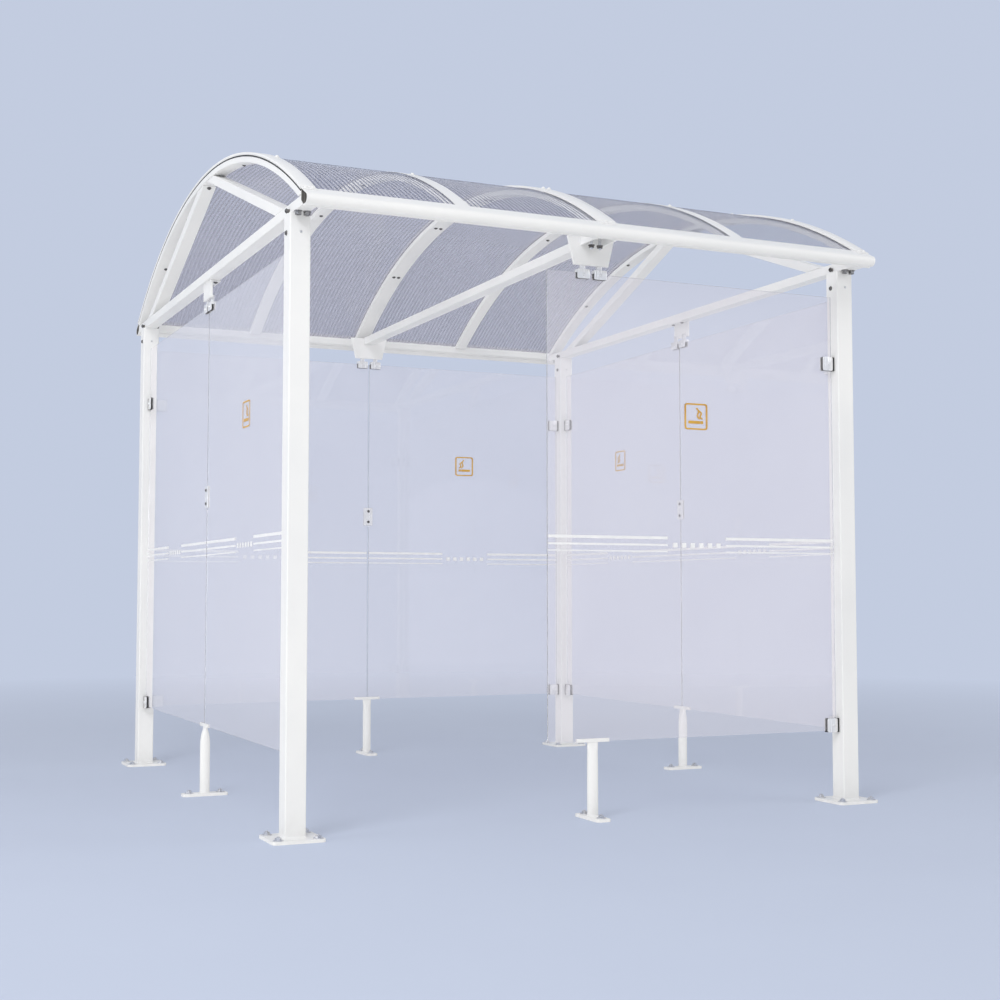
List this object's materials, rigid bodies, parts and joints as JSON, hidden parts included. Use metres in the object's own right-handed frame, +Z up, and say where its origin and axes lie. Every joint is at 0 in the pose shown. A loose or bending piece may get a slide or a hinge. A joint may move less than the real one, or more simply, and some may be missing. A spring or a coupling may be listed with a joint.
{
  "type": "smoking shelter",
  "caption": "Open-fronted smoking shelter with a white metal frame on square posts, a bowed twin-wall roof on arches and clamped glass walls.",
  "frame": {"origin": "on the ground at the centre of the four posts", "axes": "+Z up, +Y from the front with its way in to the back wall, +X to the right seen from the front"},
  "size_m": [2.676, 3.12, 2.806],
  "materials": {
    "white_paint": "smooth semi-gloss white powder coat",
    "roof_sheet": "translucent twin-wall sheet with fine ribs",
    "clear_glass": "clear toughened glass with white stripes",
    "stainless": "satin stainless steel"
  },
  "bodies": {
    "root": {"post_front_left": "white_paint", "post_front_right": "white_paint", "post_back_left": "white_paint", "post_back_right": "white_paint", "base_plate_front_left": "white_paint", "base_plate_front_right": "white_paint", "base_plate_back_left": "white_paint", "base_plate_back_right": "white_paint", "tie_beam_left": "white_paint", "tie_beam_middle": "white_paint", "tie_beam_right": "white_paint", "rafter_left_front": "white_paint", "rafter_left_back": "white_paint", "rafter_right_front": "white_paint", "rafter_right_back": "white_paint", "arch_left": "white_paint", "arch_left_quarter": "white_paint", "arch_middle": "white_paint", "arch_right_quarter": "white_paint", "arch_right": "white_paint", "eave_beam_front": "white_paint", "eave_beam_back": "white_paint", "roof_sheet_left": "roof_sheet", "roof_sheet_right": "roof_sheet", "cover_strips": "white_paint", "bracket_front": "white_paint", "bracket_back": "white_paint", "bracket_left": "white_paint", "bracket_right": "white_paint", "leg_front": "white_paint", "leg_back": "white_paint", "leg_left": "white_paint", "leg_right": "white_paint", "glass_front": "clear_glass", "glass_back_left": "clear_glass", "glass_back_right": "clear_glass", "glass_left_front": "clear_glass", "glass_left_back": "clear_glass", "glass_right_front": "clear_glass", "glass_right_back": "clear_glass", "post_clamps": "stainless", "hung_clamps": "stainless", "joint_clips": "stainless"}
  },
  "joints": []
}
